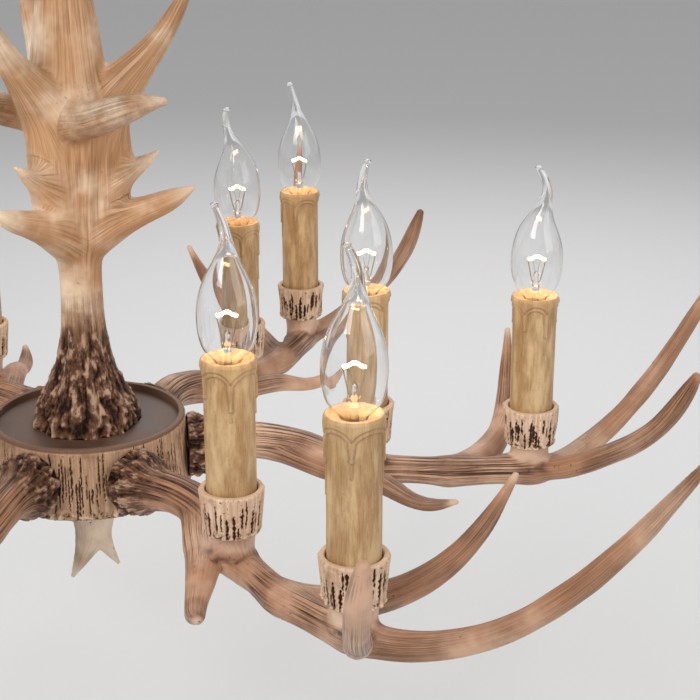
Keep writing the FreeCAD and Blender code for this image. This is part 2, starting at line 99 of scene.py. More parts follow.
# Places in a rank of the horn that crosses the trunk and of the web between the horns' roots
CROSS_HORN = 3
TRUNK_WEB = 4

# Finial antler: x, y, depth below the bottom plate, radius
FINIAL_TOP = RIM_Z - DRUM_HEIGHT + PLATE_RECESS
FINIAL_MAIN = ((0, 0, 0, 24.0), (0, 0, 17, 19.0), (-2, 0, 40, 12.0), (-9, 0, 62, 6.5), (-17, 0, 78, 1.8))
FINIAL_HOOK = ((2, -2, 30, 8.0), (9, -3, 56, 4.2), (15.2, -3, 66.6, 1.5))

# Arms: bearing of the first, and the small rise, sideways drift and bow of each antler
ARM_COUNT = 6
FIRST_ARM_DEG = -56.0
ARM_RISE = (0.045, -0.050, 0.0, 0.020, -0.030, 0.010)
ARM_SWING = (0.033, 0.0, -0.031, 0.010, -0.010, 0.020)
ARM_BOW = (2.6, 0.0, -4.4, 0.8, -0.8, 0.5)
INNER_OUT = 118.0
OUTER_OUT = 233.0
BURR_R = 20.5
BURR_THICK = 6.0
BURR_FADE = 8.0
BEAM_SINK = 4.0
DRUM_GAP = 1.2
# Cup seats: out, across, up; then the bosses under them
CUP_SEATS = ((INNER_OUT, -3.0, 7.0), (OUTER_OUT, 4.0, 4.5))
BOSS_DEPTH = 17.0
BOSS_FOOT_R = 10.8
BOSS_TOP_R = 13.4
SEAT_SINK = 0.7


def past(lamp, *stations):
    """Antler stations given from a lamp's axis, counted from the burr's face instead."""
    return tuple((lamp + out, across, up, radius) for out, across, up, radius in stations)


# Antler stations: out from the burr's face, across, up from the bolt axis, radius
BEAM = (
    (-BEAM_SINK, 0, -1, 15.0), (12, 2, -1, 14.6), (29.5, 6, 0, 13.0), (74.3, 12, -7, 12.5),
    *past(INNER_OUT, (0, 2, -16.5, 10.6), (28, -3, -15.4, 9.5), ((OUTER_OUT - INNER_OUT) / 2, -6, -15, 9.7)),
    *past(
        OUTER_OUT, (-29, -4, -14.5, 9.7), (0, 2, -16, 9.3), (22, 16, -18, 8.6), (43, 34, -14, 7.8),
        (67, 49, -1, 7.2), (93, 62, 22, 6.7), (117, 74, 51, 6.0), (139, 84, 83, 4.5),
        (157.2, 91, 111.5, 1.8),
    ),
)
REAR_TINE = past(
    OUTER_OUT, (-58, -5, -15, 8.6), (-33, 20, -15.5, 9.8), (-13, 50, -7, 8.6), (-4, 82, 12, 6.6),
    (0.8, 112, 49.6, 1.8),
)
FRONT_TINE = past(
    OUTER_OUT, (-16, 4, -14, 7.0), (4, 2, -14.5, 7.8), (20, -8, -10, 7.8), (40, -22, 3, 7.3),
    (56, -34, 16, 7.1), (78, -50, 42, 6.7), (91, -57, 67, 5.4), (95.5, -59, 77.5, 3.2),
)
BROW_TINE = past(
    INNER_OUT, (-56, 8, -6, 11.0), (-38, -3, -10.5, 10.5), (-12, -17, -13.5, 10.2), (13, -33, -15, 8.6),
    (27, -44, -19.5, 6.9), (42, -53, -19, 5.2), (54.5, -58, -14.2, 2.3),
)
BROW_SQUASH = 1.4
# Place of the front tine among the horns of an arm
FRONT = 2

# Candle lamps: sleeves, cups and bulbs stand where the frame has them
LAMPS = ["%02d" % (i + 1) for i in range(ARM_COUNT * 2)]
SLEEVE_R = 14.75
WAX_CUSPS = 5
SLEEVE_WALL = 1.55
SLEEVE_SHOWS = 79.7
LID_DROP = 2.0
LID_THICK = 1.2
LID_GAP = 0.6
LID_SKIRT = 11.0
CUP_TOP_R = 19.3
CUP_FOOT_R = 17.0
CUP_WALL = 3.8
CUP_HEIGHT = 27.5
CUP_FLOOR = 4.5
CUP_HOLE_R = CUP_TOP_R - CUP_WALL
STEM_HOLE_R = 5.2
CAP_R = 6.95
CAP_DROP = 14.0
CAP_SHELL = 19.0
CAP_NOSE = 5.0
THREAD_PITCH = 2.8
GLASS_WALL = 0.6
GLASS_FOOT_R = 7.6
GLASS_HOLLOW = 77.0
TIP_BEAD = 1.6
FILAMENT_UP = 25.0
FILAMENT_HALF = 6.0
FILAMENT_TURNS = 11
COIL_R = 0.8
LEAD_FOOT = 6.0
GLOW_POWER = 0.06
GLOW_COLOUR = (1.0, 0.62, 0.28)
# Wire radii of the lead wires, the supports and the filament
LEAD_R = 0.32
SUPPORT_R = 0.16
FILAMENT_R = 0.36
# Glass outline: radius, height above the sleeve's top, share of the neck's bow and of the tip's lean
GLASS = (
    (6.7, -CAP_DROP, 0, 0), (6.9, -7, 0, 0), (GLASS_FOOT_R, -LID_DROP, 0, 0), (12.9, 4, 0, 0),
    (15.8, 10, 0, 0), (17.5, 23, 0, 0), (16.2, 36, 0, 0), (12.0, 48, 0, 0), (7.6, 57, 0.3, 0),
    (4.6, 65, 0.75, 0.05), (3.2, 73, 1.0, 0.2), (2.7, 80, 0.85, 0.5), (2.4, 86, 0.4, 0.8), (2.1, 90, 0, 1.0),
)
# Each bulb's bow, lean and how much lower its tip is
BULB_BENDS = (
    (1.3, -5.7, 0.0), (2.4, -4.4, 0.0), (-3.2, 1.2, 1.8),
    (5.5, -2.2, 1.2), (-5.0, -5.8, 3.6), (-1.5, -7.5, 1.4),
)

# Camera: the photograph's place and angle, for a square frame
CAMERA_AT = (0.1769, -0.9999, 0.0474)
CAMERA_PITCH_DEG = 70.5
CAMERA_LENS = 81.9
SENSOR = 36.0

# How the antler skins are made
SAMPLE_STEP = 1.0
CHUNK = 4000
TIP_R = 1.0
POINT_R = 4.0
BLEND = 2.6
TINE_BLEND = 2.0
SETTLE_ROUNDS = 3
FAR = 1000.0
ARM_VOXEL = 1.15
COLUMN_VOXEL = 1.0
FINIAL_VOXEL = 1.1
# Scale of the grain round a horn and along it
GRAIN_AROUND = 3.2
GRAIN_LENGTH = 45.0


# Curves, noise and meshes

def spline(knots, values, at):
    """Natural cubic spline through the rows of values, read at the given parameters."""
    step = np.diff(knots)
    count = len(knots)
    left = np.eye(count)
    right = np.zeros_like(values)
    for i in range(1, count - 1):
        left[i, i - 1:i + 2] = step[i - 1], 2 * (step[i - 1] + step[i]), step[i]
        right[i] = 6 * ((values[i + 1] - values[i]) / step[i] - (values[i] - values[i - 1]) / step[i - 1])
    bend = np.linalg.solve(left, right)
    i = np.clip(np.searchsorted(knots, at) - 1, 0, count - 2)
    run = step[i][:, None]
    a = (knots[i + 1] - at)[:, None] / run
    b = 1 - a
    cubic = ((a ** 3 - a) * bend[i] + (b ** 3 - b) * bend[i + 1]) * run ** 2 / 6
    return a * values[i] + b * values[i + 1] + cubic


def smoothstep(low, high, value):
    """0 below low, 1 above high, smooth between; low may be the larger."""
    t = np.clip((value - low) / (high - low), 0, 1)
    return t * t * (3 - 2 * t)


def noise_at(*axes):
    """Smooth noise from -1 to 1 at points given as arrays of coordinates."""
    rows = np.stack(np.broadcast_arrays(*axes), -1).reshape(-1, 3).tolist()
    return np.array([noise.noise(row) for row in rows])


def round_noise(turn, along, around, length, seed=0.0):
    """Noise that runs round an axis and is stretched along it."""
    return noise_at(np.cos(turn) * around, np.sin(turn) * around + seed, along / length)


def gnarl(turn, along, around, length, seed):
    """Gnarled relief from 0 to 1: lumps with smaller lumps on them, stretched along an axis."""
    total = np.zeros(len(turn))
    for octave in range(3):
        fine = 2.1 ** octave
        total += round_noise(turn, along, around * fine, length / fine, seed + 11 * octave) / 1.2 ** octave
    return np.clip(0.5 + 0.6 * total, 0, 1)


def picked(table, column):
    """From each row of a table, the entry in that row's column."""
    return np.take_along_axis(table, column[:, None], 1)[:, 0]


def circle(sides):
    """Angles in even steps round a circle."""
    return np.linspace(0, math.tau, sides, endpoint=False)


def turn_from(middle, turn):
    """Angle from the middle to each turn, half a circle either way."""
    return (turn - middle + math.pi) % math.tau - math.pi


def rings(side, over, sides):
    """Unit circles across a path, one for each pair of axes."""
    angle = circle(sides)[None, :, None]
    return np.cos(angle) * side[:, None] + np.sin(angle) * over[:, None]


def new_object(name, data):
    """An object in the scene."""
    obj = bpy.data.objects.new(name, data)
    bpy.context.scene.collection.objects.link(obj)
    return obj


def new_mesh(name, points, faces):
    """A smooth-shaded mesh from millimetre points."""
    mesh = bpy.data.meshes.new(name)
    mesh.from_pydata((np.asarray(points) * MM).tolist(), [], faces)
    mesh.shade_smooth()
    return mesh


def paint(mesh, **layers):
    """Store a number or a vector for each vertex under each name."""
    for name, values in layers.items():
        values = np.asarray(values, np.float32)
        kind, key = ("FLOAT", "value") if values.ndim == 1 else ("FLOAT_VECTOR", "vector")
        mesh.attributes.new(name, kind, "POINT").data.foreach_set(key, values.ravel())


def piece(name, mesh, materials, nodes, at=(0, 0, 0), turn=0.0, body=FIXED):
    """Place a mesh on its body, standing for CAD nodes."""
    obj = new_object(name, mesh)
    for material in materials:
        if material.name not in mesh.materials:
            mesh.materials.append(material)
    obj.location = at
    obj.rotation_euler = (0, 0, turn)
    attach(obj, body)
    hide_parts(*nodes)
    return obj


def grid_faces(rows, sides, closed):
    """Quads of a tube of rows times sides points; closed joins the last row to the first."""
    faces = []
    for i in range(rows if closed else rows - 1):
        j = (i + 1) % rows
        for k in range(sides):
            m = (k + 1) % sides
            faces.append((i * sides + k, i * sides + m, j * sides + m, j * sides + k))
    return faces


def capped_faces(rows, sides):
    """Quads of an open tube with both ends filled."""
    ends = [tuple(reversed(range(sides))), tuple(range((rows - 1) * sides, rows * sides))]
    return grid_faces(rows, sides, False) + ends


def flipped(faces):
    """The same faces, seen from their other side."""
    return [tuple(reversed(face)) for face in faces]


def merged(parts):
    """Points and faces of several parts in one list."""
    points, faces = [], []
    for part_points, part_faces in parts:
        start = sum(len(p) for p in points)
        points.append(np.asarray(part_points, float))
        faces += [tuple(v + start for v in face) for face in part_faces]
    return np.concatenate(points), faces


# Antler skins

class Horn:
    """One smooth horn: samples along it with centre, radius, distance and two axes across.

    It is round, or thinner from top to bottom than across by the squash. A web has no grain of its own.
    """

    def __init__(self, stations, squash=1.0, web=False):
        self.squash = squash
        self.web = web
        table = np.array(stations, float)
        runs = np.linalg.norm(np.diff(table[:, :3], axis=0), axis=1)
        knots = np.concatenate(([0.0], np.cumsum(runs)))
        at = np.linspace(0, knots[-1], int(knots[-1] / SAMPLE_STEP) + 2)
        smooth = spline(knots, table, at)
        self.centre = smooth[:, :3]
        self.radius = np.maximum(smooth[:, 3], TIP_R)
        self.along = at
        forward = np.gradient(self.centre, axis=0)
        self.forward = forward / np.linalg.norm(forward, axis=1)[:, None]
        side = np.cross(self.forward[0], (0.3, 0.5, 0.8))
        self.side = np.empty_like(self.centre)
        for i, ahead in enumerate(self.forward):
            side = side - ahead * side.dot(ahead)
            side = side / np.linalg.norm(side)
            self.side[i] = side
        self.over = np.cross(self.forward, self.side)

    def shell(self, sides=18):
        """Points and faces of a plain tube along the horn, with a round end."""
        lift = np.radians((25.0, 50.0, 75.0))
        rows = np.concatenate((np.arange(len(self.along)), np.full(len(lift), -1)))
        radius = self.radius[rows]
        centre = self.centre[rows]
        centre[-len(lift):] += np.sin(lift)[:, None] * radius[-1] * self.forward[-1]
        radius[-len(lift):] *= np.cos(lift)
        ring = rings(self.side[rows], self.over[rows], sides)
        ring[:, :, 2] /= self.squash
        points = centre[:, None] + radius[:, None, None] * ring
        return points.reshape(-1, 3), capped_faces(len(rows), sides)

    def measure(self, points):
        """Gap to the surface, distance along, turn round the axis and the way out, at each point."""
        nearest = np.empty(len(points), int)
        for first in range(0, len(points), CHUNK):
            block = points[first:first + CHUNK]
            square = (self.centre ** 2).sum(1) - 2 * block @ self.centre.T
            nearest[first:first + CHUNK] = square.argmin(1)
        offset = points - self.centre[nearest]
        slide = np.clip((offset * self.forward[nearest]).sum(1), -SAMPLE_STEP / 2, SAMPLE_STEP / 2)
        offset -= slide[:, None] * self.forward[nearest]
        offset[:, 2] *= self.squash
        distance = np.maximum(np.linalg.norm(offset, axis=1), 1e-6)
        turn = np.arctan2((offset * self.over[nearest]).sum(1), (offset * self.side[nearest]).sum(1))
        return distance - self.radius[nearest], self.along[nearest] + slide, turn, offset / distance[:, None]


class Skin:
    """One closed skin over horns that run into each other, with the flow of each horn at every point."""

    def __init__(self, horns, voxel):
        self.horns = horns
        points, faces = merged(horn.shell() for horn in horns)
        self.points, self.faces = self.remesh(points, faces, voxel)
        for _ in range(SETTLE_ROUNDS):
            self.measure()
            self.points -= self.depth[:, None] * self.normal
        self.measure()
        self.stain = np.zeros(len(self.points))

    @staticmethod
    def remesh(points, faces, voxel):
        """Points and faces of one even skin over overlapping tubes."""
        mesh = bpy.data.meshes.new("tubes")
        mesh.from_pydata(points.tolist(), [], faces)
        obj = new_object("tubes", mesh)
        modifier = obj.modifiers.new("skin", "REMESH")
        modifier.mode = "VOXEL"
        modifier.voxel_size = voxel
        skin = obj.evaluated_get(bpy.context.evaluated_depsgraph_get()).to_mesh()
        co = np.empty(len(skin.vertices) * 3)
        skin.vertices.foreach_get("co", co)
        quads = [tuple(face.vertices) for face in skin.polygons]
        bpy.data.objects.remove(obj)
        bpy.data.meshes.remove(mesh)
        return co.reshape(-1, 3), quads

    def measure(self):
        """Depth below the blended surface, its normal, and each horn's flow."""
        *found, ways_out = zip(*(horn.measure(self.points) for horn in self.horns))
        self.gap, self.along, self.turn = (np.stack(values, 1) for values in found)
        pull = np.exp(-(self.gap - self.gap.min(1)[:, None]) / BLEND)
        total = pull.sum(1)
        self.depth = self.gap.min(1) - BLEND * np.log(total)
        slope = sum((pull[:, i] / total)[:, None] * out for i, out in enumerate(ways_out))
        self.normal = slope / np.maximum(np.linalg.norm(slope, axis=1), 1e-6)[:, None]
        grained = self.gap + FAR * np.array([horn.web for horn in self.horns])
        self.best = 1 + grained[:, 1:].argmin(1)
        other = picked(grained, self.best)
        self.tine = 1 / (1 + np.exp(np.clip((other - self.gap[:, 0]) / TINE_BLEND, -40, 40)))

    def tine_flow(self):
        """Distance along and turn round the nearest of the side horns."""
        return picked(self.along, self.best), picked(self.turn, self.best)

    def mesh(self, name, place, offset):
        """The skin as a mesh, moved by place, with the flow that its finish follows."""
        mesh = new_mesh(name, place(self.points), self.faces)
        beam = self.along[:, 0], self.turn[:, 0]
        for key, (along, turn), shift in (("flow_beam", beam, 0.0), ("flow_tine", self.tine_flow(), 7.0)):
            vector = np.stack((np.cos(turn), np.sin(turn), along / GRAIN_LENGTH), 1)
            vector[:, :2] *= GRAIN_AROUND
            paint(mesh, **{key: vector + shift + offset})
        paint(mesh, tine=self.tine, crust=self.crust, knob=self.knob, tip=self.tip, stain=self.stain,
              groove=self.groove)
        return mesh


def tip_share(skin, length):
    """1 at the pointed end of each horn, 0 from length before it."""
    ends = np.array([horn.along[-1] if horn.radius[-1] < POINT_R else math.inf for horn in skin.horns])
    return smoothstep(length, 0, picked(ends - skin.along, skin.gap.argmin(1)))


def arm_horns():
    """Beam, tines and cup bosses of one arm in its own frame."""
    beam = Horn(BEAM)
    start = np.maximum(beam.along - BURR_THICK - BEAM_SINK, 0)
    burr = beam.radius + (BURR_R - beam.radius) * np.exp(-(start / BURR_FADE) ** 2)
    beam.radius = np.maximum(beam.radius, burr)
    bosses = [Horn(((out, across, top - BOSS_DEPTH, BOSS_FOOT_R), (out, across, top, BOSS_TOP_R)), web=True)
              for out, across, top in CUP_SEATS]
    tines = [Horn(tine) for tine in (REAR_TINE, FRONT_TINE)] + [Horn(BROW_TINE, BROW_SQUASH)]
    return [beam] + tines + bosses


def arm_skin():
    """The skin of one arm: knobby burr, fluted beam, smoother tines, flat seats for the cups."""
    skin = Skin(arm_horns(), ARM_VOXEL)
    along = skin.along[:, 0] - BEAM_SINK
    turn = skin.turn[:, 0]
    tine_along, tine_turn = skin.tine_flow()
    beam = 1 - skin.tine
    near = np.exp(-np.maximum(along, 0) / 24) * beam
    burr = np.exp(-((along - 3) / 5.5) ** 2) * beam
    skin.knob = gnarl(turn, along, 3.4, 9.0, 15.0)
    relief = 0.50 * round_noise(turn, along, 3.4, 60.0) * beam
    relief += 0.32 * round_noise(tine_turn, tine_along, 2.0, 45.0, 5.0) * skin.tine
    relief += 1.5 * near * round_noise(turn, along, 4.2, 26.0, 9.0)
    relief += (3.4 * burr + 1.2 * near) * (skin.knob - 0.5)
    relief += 1.6 * burr * round_noise(turn, along, 2.2, 30.0, 2.0)
    relief += 0.5 * noise_at(*(skin.points / 22.0).T)
    skin.points += relief[:, None] * skin.normal
    skin.crust = smoothstep(36, 4, along + 11 * round_noise(turn, along, 2.6, 22.0, 3.0)) * beam
    bosses = skin.gap[:, -len(CUP_SEATS):].min(1)
    front = (skin.best == FRONT) * skin.tine
    skin.groove = beam * (0.35 + 0.65 * smoothstep(262, 215, along)) + 0.75 * skin.tine
    skin.groove *= smoothstep(-1.0, 2.0, bosses)
    skin.tip = tip_share(skin, 9.0) * (1 - front)
    x, y, z = skin.points.T
    for out, across, top in CUP_SEATS:
        away = np.hypot(x - out, y - across) - BOSS_TOP_R
        below = top - z + 2.5 * noise_at(*(skin.points / 7.0).T)
        # Painted shade: a dark ring in the crease at the foot of each cup boss
        skin.stain += np.exp(-(away / 4.5) ** 2 - ((below - BOSS_DEPTH + 2) / 2.8) ** 2)
        skin.tip = np.maximum(skin.tip, 0.9 * smoothstep(4, 1, away) * smoothstep(BOSS_DEPTH - 3, 8, below))
        seat = away < 2
        z[seat] = np.minimum(z[seat], top + SEAT_SINK)
    x[:] = np.maximum(x, np.sqrt(np.maximum((DRUM_RIM_R + DRUM_GAP) ** 2 - y ** 2, 0)) - ARM_FACE)
    return skin


def arm_place(k):
    """How arm k's own frame lies in the part."""
    angle = math.radians(FIRST_ARM_DEG + 360.0 / ARM_COUNT * k)

    def place(points):
        reach = np.maximum(points[:, 0], 0)
        out = points[:, 0] + ARM_FACE
        share = np.minimum(reach / OUTER_OUT, 1)
        side = points[:, 1] + ARM_SWING[k] * reach + ARM_BOW[k] * 4 * share * (1 - share)
        up = points[:, 2] + ARM_RISE[k] * reach + BOLT_Z
        x = out * math.cos(angle) - side * math.sin(angle)
        y = out * math.sin(angle) + side * math.cos(angle)
        return np.stack((x, y, up), 1)

    return place


def column_skin():
    """The skin of the column: crusty foot, smooth waisted trunk, three ranks of horns."""
    horns = [Horn([(0, 0, TRUNK_FOOT + TRUNK_HEIGHT * share, radius) for radius, share in TRUNK_PROFILE])]
    for rank in range(TRUNK_RANKS):
        angle = math.tau / TRUNK_RANKS * rank
        c, s = math.cos(angle), math.sin(angle)
        for kind, (share, stations) in enumerate(TRUNK_HORNS):
            level = TRUNK_FOOT + TRUNK_HEIGHT * share
            route = [(x * c - y * s, x * s + y * c, level + z, r) for x, y, z, r in stations]
            horns.append(Horn(route, web=kind == TRUNK_WEB))
    skin = Skin(horns, COLUMN_VOXEL)
    up = skin.points[:, 2] - TRUNK_FOOT
    turn = np.arctan2(skin.points[:, 1], skin.points[:, 0])
    trunk = 1 - skin.tine
    tine_along, tine_turn = skin.tine_flow()
    skin.crust = smoothstep(CRUST_TOP, CRUST_TOP - 26, up + 16 * round_noise(turn, up, 3.0, 34.0))
    skin.knob = gnarl(turn, up, 3.6, 15.0, 8.0)
    flutes = round_noise(turn, up, 3.4, 70.0, 2.0)
    relief = skin.crust * (3.4 * (skin.knob - 0.5) + 2.8 * flutes) * smoothstep(105, 15, up)
    relief += 2.0 * np.exp(-((up - 8) / 8) ** 2) * (skin.knob - 0.2)
    relief += 0.9 * trunk * round_noise(turn, up, 1.9, 90.0, 4.0)
    relief += 0.4 * skin.tine * round_noise(tine_turn, tine_along, 1.6, 40.0, 6.0)
    relief += 0.5 * noise_at(*(skin.points / 30.0).T)
    skin.points += relief[:, None] * skin.normal
    skin.points[:, 2] = np.clip(skin.points[:, 2], TRUNK_FOOT, TRUNK_FOOT + TRUNK_HEIGHT)
    skin.tip = tip_share(skin, 22.0)
    cross = (skin.best - 1) % len(TRUNK_HORNS) == CROSS_HORN
    # Darker towards the foot and on the crossing horn; the same mask carries the arms' painted shade
    skin.stain = np.maximum(0.5 * smoothstep(CRUST_TOP + 40, CRUST_TOP - 10, up), 0.45 * cross * skin.tine)
    skin.groove = np.full(len(up), 0.6)
    return skin


def finial_skin():
    """The skin of the finial: a specked tip and its hook."""
    horns = [Horn([(x, y, FINIAL_TOP - depth, r) for x, y, depth, r in branch])
             for branch in (FINIAL_MAIN, FINIAL_HOOK)]
    skin = Skin(horns, FINIAL_VOXEL)
    along = skin.along[:, 0]
    relief = 0.5 * round_noise(skin.turn[:, 0], along, 2.4, 30.0)
    relief += 0.6 * noise_at(*(skin.points / 14.0).T)
    skin.points += relief[:, None] * skin.normal
    skin.points[:, 2] = np.minimum(skin.points[:, 2], FINIAL_TOP)
    skin.knob = np.clip(0.5 + noise_at(*(skin.points / 5.0).T), 0, 1)
    skin.crust = 0.85 * smoothstep(26, 2, along + 9 * noise_at(*(skin.points / 9.0).T))
    skin.tip = tip_share(skin, 20.0)
    skin.groove = np.full(len(along), 0.5)
    return skin


# Turned pieces: drum, cups, sleeves, glass and caps

def turned(rows, sides, relief=0.0):
    """Points of a turned shape, rows times sides, with radial relief in millimetres."""
    turn = circle(sides)[None, :]
    radius, height = (np.array(axis, float)[:, None] for axis in zip(*rows))
    radius = radius + relief + np.zeros(sides)
    height = height + np.zeros_like(radius)
    return np.stack((radius * np.cos(turn), radius * np.sin(turn), height), -1).reshape(-1, 3)


def walk(corners, step):
    """Points every step or less along straight runs between corners, closed."""
    points = []
    for (r0, z0), (r1, z1) in zip(corners, corners[1:] + corners[:1]):
        count = max(1, math.ceil(math.hypot(r1 - r0, z1 - z0) / step))
        points += [(r0 + (r1 - r0) * i / count, z0 + (z1 - z0) * i / count) for i in range(count)]
    return points


def bark_cracks(turn, height, radius, seed, count, lengths, width):
    """Upright ragged cracks on rows times sides of points, 1 in a crack and 0 on the plain bark."""
    random = np.random.default_rng(seed)
    level = height[:, 0]
    field = np.zeros((len(level), turn.shape[1]))
    for i in range(count):
        middle = math.tau * (i + random.uniform(-0.4, 0.4)) / count
        length = random.uniform(*lengths)
        start = random.uniform(level.min() + length * 0.9, level.max() - 1.0)
        wander = 0.55 * noise_at(level / 5.0, 7.3 * i, seed)
        wander += 0.5 * noise_at(level / 1.9, 5.7 * i, seed + 20)
        ragged = 0.7 + 0.9 * noise_at(level / 1.8, 3.1 * i, seed + 40)
        share = np.clip((start - level) / length, 0, 1)
        taper = np.clip(4 * share * (1 - share), 0, 1) ** 0.5
        half = random.uniform(*width) * np.clip(ragged, 0.2, 1.5) * taper
        across = turn_from(middle, turn) * radius - wander[:, None]
        depth = 1 - np.abs(across) / np.maximum(half, 0.05)[:, None]
        field = np.maximum(field, smoothstep(-0.7, 0.7, depth) * (half > 0.08)[:, None])
    return field


def bark_mesh(name, rows, sides, outer, seed, cracks, depth, flutes, beads):
    """A turned bark piece: outer is the radius from which it cracks, beads roughen its lower edge."""
    turn = circle(sides)[None, :]
    radius, height = (np.array(axis, float)[:, None] for axis in zip(*rows))
    side = smoothstep(outer - 0.6, outer, radius) * smoothstep(0.3, -0.9, height) + 0 * turn
    flat = (side > 0).ravel()
    around, level = (np.broadcast_to(a, side.shape).ravel() for a in (turn, height))
    crack = bark_cracks(turn, height, outer, seed, *cracks) * side
    swell = np.zeros(side.size)
    swell[flat] = flutes * round_noise(around[flat], level[flat], outer / 6, 22.0, seed + 20)
    rough = np.zeros(side.size)
    edge = flat & (level < height.min() + 9)
    knobs = gnarl(around[edge], level[edge], outer / 4.5, 4.5, seed + 30)
    rough[edge] = np.exp(-((level[edge] - height.min() - 2.0) / 3.0) ** 2) * (knobs - 0.5)
    relief = ((swell + beads * rough) * side.ravel()).reshape(side.shape) - depth * crack
    mesh = new_mesh(name, turned(rows, sides, relief), grid_faces(len(rows), sides, True))
    flow = np.stack((np.cos(around) * outer / 5, np.sin(around) * outer / 5, level / 30.0), 1)
    # rough: the bead height, from which the finish paints shade in the hollows and a highlight on the tops
    rough = np.clip(0.5 + rough, 0, 1)
    paint(mesh, crack=crack.ravel(), rough=rough, side=side.ravel(), flow=flow + seed)
    return mesh


def drum_mesh():
    """The drum: cracked side with a beaded lower edge, plain rim, and its hollow."""
    inner = DRUM_RIM_R - DRUM_WALL
    recess = DRUM_RIM_R - RIM_WIDTH
    ledge = -PLATE_RECESS - PLATE_THICK
    low_ledge = -DRUM_HEIGHT - ledge
    corners = [
        (recess, 0.0), (recess, ledge), (inner, ledge), (inner, low_ledge), (recess, low_ledge),
        (recess, -DRUM_HEIGHT), (DRUM_RIM_R + DRUM_FLARE, -DRUM_HEIGHT), (DRUM_RIM_R + 0.8, -2.6),
        (DRUM_RIM_R + 0.2, -2.0), (DRUM_RIM_R + 0.2, -0.7), (DRUM_RIM_R - 0.5, 0.0),
    ]
    return bark_mesh("hub_bark", walk(corners, 0.85), 840, DRUM_RIM_R + 0.7, seed=3,
                     cracks=(190, (10.0, 40.0), (0.3, 0.7)), depth=0.8, flutes=0.5, beads=3.4)


def cup_mesh(seed, cracks, flutes, beads):
    """A thick cup of cracked bark."""
    corners = [
        (CUP_HOLE_R, -0.7), (CUP_HOLE_R, CUP_FLOOR - CUP_HEIGHT), (STEM_HOLE_R, CUP_FLOOR - CUP_HEIGHT),
        (STEM_HOLE_R, -CUP_HEIGHT), (CUP_FOOT_R - 1.2, -CUP_HEIGHT), (CUP_FOOT_R - 0.3, 0.4 - CUP_HEIGHT),
        (CUP_FOOT_R, 1.2 - CUP_HEIGHT), (CUP_TOP_R, -1.2), (CUP_TOP_R - 0.9, 0.0), (CUP_HOLE_R + 0.7, 0.0),
    ]
    return bark_mesh("cup_bark", walk(corners, 0.5), 280, CUP_FOOT_R, seed, cracks, 1.3, flutes, beads)


def wax_edge(turn, cusps, levels, peak):
    """Lower edge of a scalloped wax layer: it hangs to a level at each cusp and arches up between."""
    edge = np.zeros_like(turn)
    for i, here in enumerate(cusps):
        j = (i + 1) % len(cusps)
        width = (cusps[j] - here) % math.tau
        share = (turn - here) % math.tau / width
        sag = levels[i] * (1 - share) + levels[j] * share
        arch = sag + (peak - sag) * np.clip(4 * share * (1 - share), 0, 1) ** 0.55
        edge = np.where(share <= 1, arch, edge)
    return edge


def wax_relief(turn, height, seed):
    """How far the wax stands out: two scalloped layers under the rim and runs with round ends."""
    random = np.random.default_rng(seed)
    cusps = (np.arange(WAX_CUSPS) + random.uniform(-0.16, 0.16, WAX_CUSPS)) * math.tau / WAX_CUSPS
    levels = -random.uniform(14.0, 18.0, WAX_CUSPS)
    relief = np.zeros_like(turn)
    for share, peak in ((1.0, -7.3), (0.70, -4.4)):
        edge = wax_edge(turn, cusps, levels * share, peak)
        relief += 0.75 * smoothstep(edge - 0.35, edge + 0.35, height)
        relief += 0.25 * np.exp(-((height - edge - 1.0) / 0.7) ** 2)
    for middle, top in zip(cusps, levels):
        across = turn_from(middle, turn) * SLEEVE_R
        first = random.uniform(4, 11)
        for length, half, thick in ((first, 1.35, 1.6), (first + random.uniform(6, 22), 0.75, 0.8)):
            end = top - length
            taper = half * (1.0 + 0.6 * smoothstep(top - length * 0.6, top + 4, height))
            shape = np.sqrt(np.clip(1 - (across / taper) ** 2, 0, 1))
            shape *= smoothstep(end - 0.3, end + 0.5, height)
            bead = np.sqrt(np.clip(1 - (across ** 2 + (height - end) ** 2) / (half * 1.15) ** 2, 0, 1))
            below = smoothstep(top + 9, top + 3, height)
            relief = np.maximum(relief, thick * np.maximum(shape * below, bead * 1.15))
    return relief


def sleeve_mesh(seed):
    """A candle sleeve, level zero at its top, with its lid and wax runs down its outside."""
    foot = CUP_FLOOR - CUP_HEIGHT - SLEEVE_SHOWS
    inner = SLEEVE_R - SLEEVE_WALL
    hole = GLASS_FOOT_R + LID_GAP
    under = -LID_DROP - LID_THICK
    rows = [
        (inner, foot), (inner, under), (hole + LID_THICK, under), (hole + LID_THICK, -LID_SKIRT),
        (hole, -LID_SKIRT), (hole, -LID_DROP), (inner - 1.2, -LID_DROP), (inner - 0.2, -LID_DROP + 0.3),
        (inner + 0.2, -0.5), (inner + 0.9, -0.05), (SLEEVE_R - 0.2, 0.0),
    ]
    levels = np.concatenate((np.linspace(-0.25, -52.0, 112), np.linspace(-55.0, foot, 8)))
    rows += [(SLEEVE_R, level) for level in levels]
    sides = 168
    turn = np.tile(circle(sides), len(rows))
    radius, height = (np.repeat(axis, sides) for axis in zip(*rows))
    face = (radius > SLEEVE_R - 0.1).astype(float)
    wax = wax_relief(turn, height, seed) * face
    relief = wax * (0.45 + 0.55 * smoothstep(0.0, -2.0, height))
    relief += 0.12 * face * round_noise(turn, height, 3.0, 25.0, seed)
    points = turned(rows, sides, relief.reshape(len(rows), sides))
    mesh = new_mesh("sleeve_wax", points, flipped(grid_faces(len(rows), sides, True)))
    sheet = wax.reshape(len(rows), sides)
    # edge: steepness of the wax steps, which the finish darkens as painted shade
    slope = np.abs(np.gradient(sheet, axis=0)) + np.abs(np.roll(sheet, 1, 1) - np.roll(sheet, -1, 1)) / 2
    edge = np.clip(slope.ravel() * 1.6, 0, 1) * face
    flow = np.stack((np.cos(turn) * 9.0, np.sin(turn) * 9.0, height / 45.0), 1)
    paint(mesh, edge=edge, wax=np.clip(wax / 1.3, 0, 1), flow=flow + seed)
    return mesh


